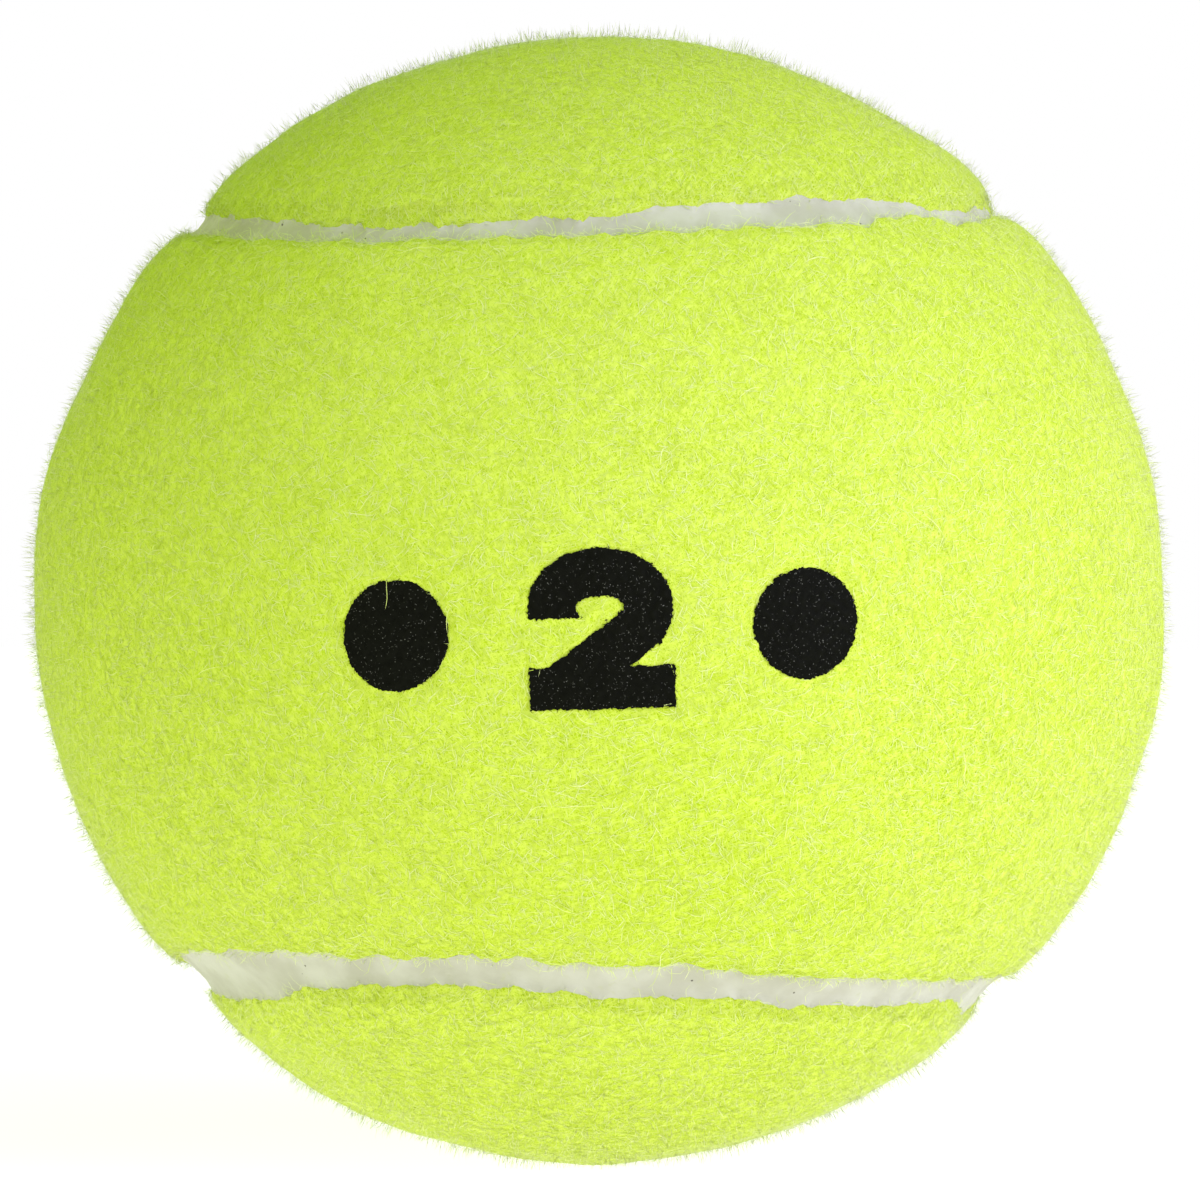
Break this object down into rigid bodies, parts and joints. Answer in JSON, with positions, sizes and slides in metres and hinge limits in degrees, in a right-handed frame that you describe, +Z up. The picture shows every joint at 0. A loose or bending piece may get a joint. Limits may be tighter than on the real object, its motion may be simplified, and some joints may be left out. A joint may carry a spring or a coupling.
{
  "type": "tennis ball",
  "caption": "Hollow rubber ball covered by interlocking waisted felt panels that meet along one curved cement seam, in bright yellow-green.",
  "frame": {"origin": "centre of the ball", "axes": "+Z up; -Y through the middle of the front panel's waist, towards the viewer; the front panel's long direction runs along X, the back panel's along Z"},
  "size_m": [0.0668, 0.0668, 0.0668],
  "materials": {
    "felt": "napped wool and nylon felt, bright yellow-green, matte with a pale fibre haze",
    "seam": "cured pale grey rubber cement, matte, slightly rough",
    "cement": "cured rubber cement, thin amber film, satin",
    "core_rubber": "moulded dark grey rubber, matte",
    "ink": "black screen ink soaked into the nap, matte with faint glints along the fibres"
  },
  "bodies": {
    "root": {"core_half_upper": "core_rubber", "core_half_lower": "core_rubber", "core_joint_cement": "cement", "core_cement_coat": "cement", "felt_panel_front": "felt", "felt_panel_back": "felt", "seam_cement": "seam"}
  },
  "joints": []
}
